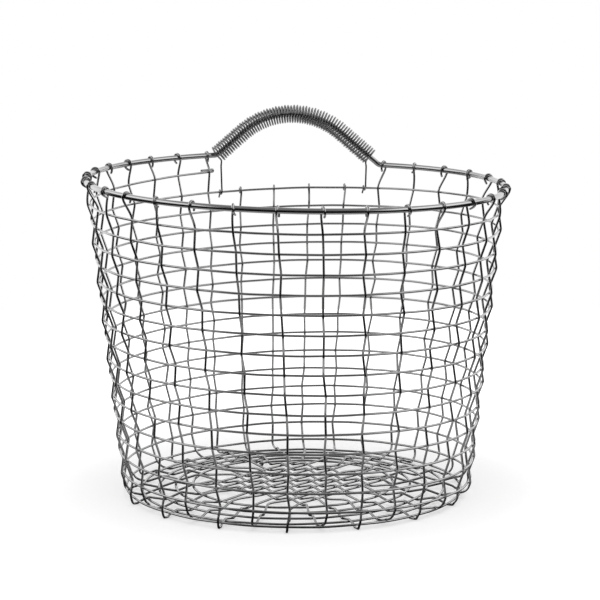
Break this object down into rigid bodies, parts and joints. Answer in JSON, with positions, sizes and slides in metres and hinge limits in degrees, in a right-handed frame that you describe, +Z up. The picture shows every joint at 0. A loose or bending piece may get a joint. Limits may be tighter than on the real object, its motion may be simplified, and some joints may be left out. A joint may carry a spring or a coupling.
{
  "type": "woven wire basket",
  "caption": "Tapered round locker basket woven from spiral steel wire over bent uprights, with a thick rim rod that rises at the back into a coil-wrapped loop handle.",
  "frame": {"origin": "on the floor, on the vertical axis of the round body, directly below the middle of the rim", "axes": "+Z up, -Y towards the front that the picture shows, +Y towards the handle, +X to the right seen from the front"},
  "size_m": [0.3679, 0.3613, 0.322],
  "materials": {
    "wire_steel": "drawn stainless wire, satin-bright, lightly worked where it is woven",
    "rim_steel": "drawn stainless rod, satin-bright, bent cold",
    "coil_steel": "drawn stainless wire, satin-bright, close open curls"
  },
  "bodies": {
    "root": {"rim_rod": "rim_steel", "grip_coil": "coil_steel", "weaver": "wire_steel", "odd_upright": "wire_steel", "upright_pair_01": "wire_steel", "upright_pair_02": "wire_steel", "upright_pair_03": "wire_steel", "upright_pair_04": "wire_steel", "upright_pair_05": "wire_steel", "upright_pair_06": "wire_steel", "upright_pair_07": "wire_steel", "upright_pair_08": "wire_steel", "upright_pair_09": "wire_steel", "upright_pair_10": "wire_steel", "upright_pair_11": "wire_steel", "upright_pair_12": "wire_steel", "upright_pair_13": "wire_steel", "upright_pair_14": "wire_steel", "upright_pair_15": "wire_steel", "upright_pair_16": "wire_steel"}
  },
  "joints": []
}
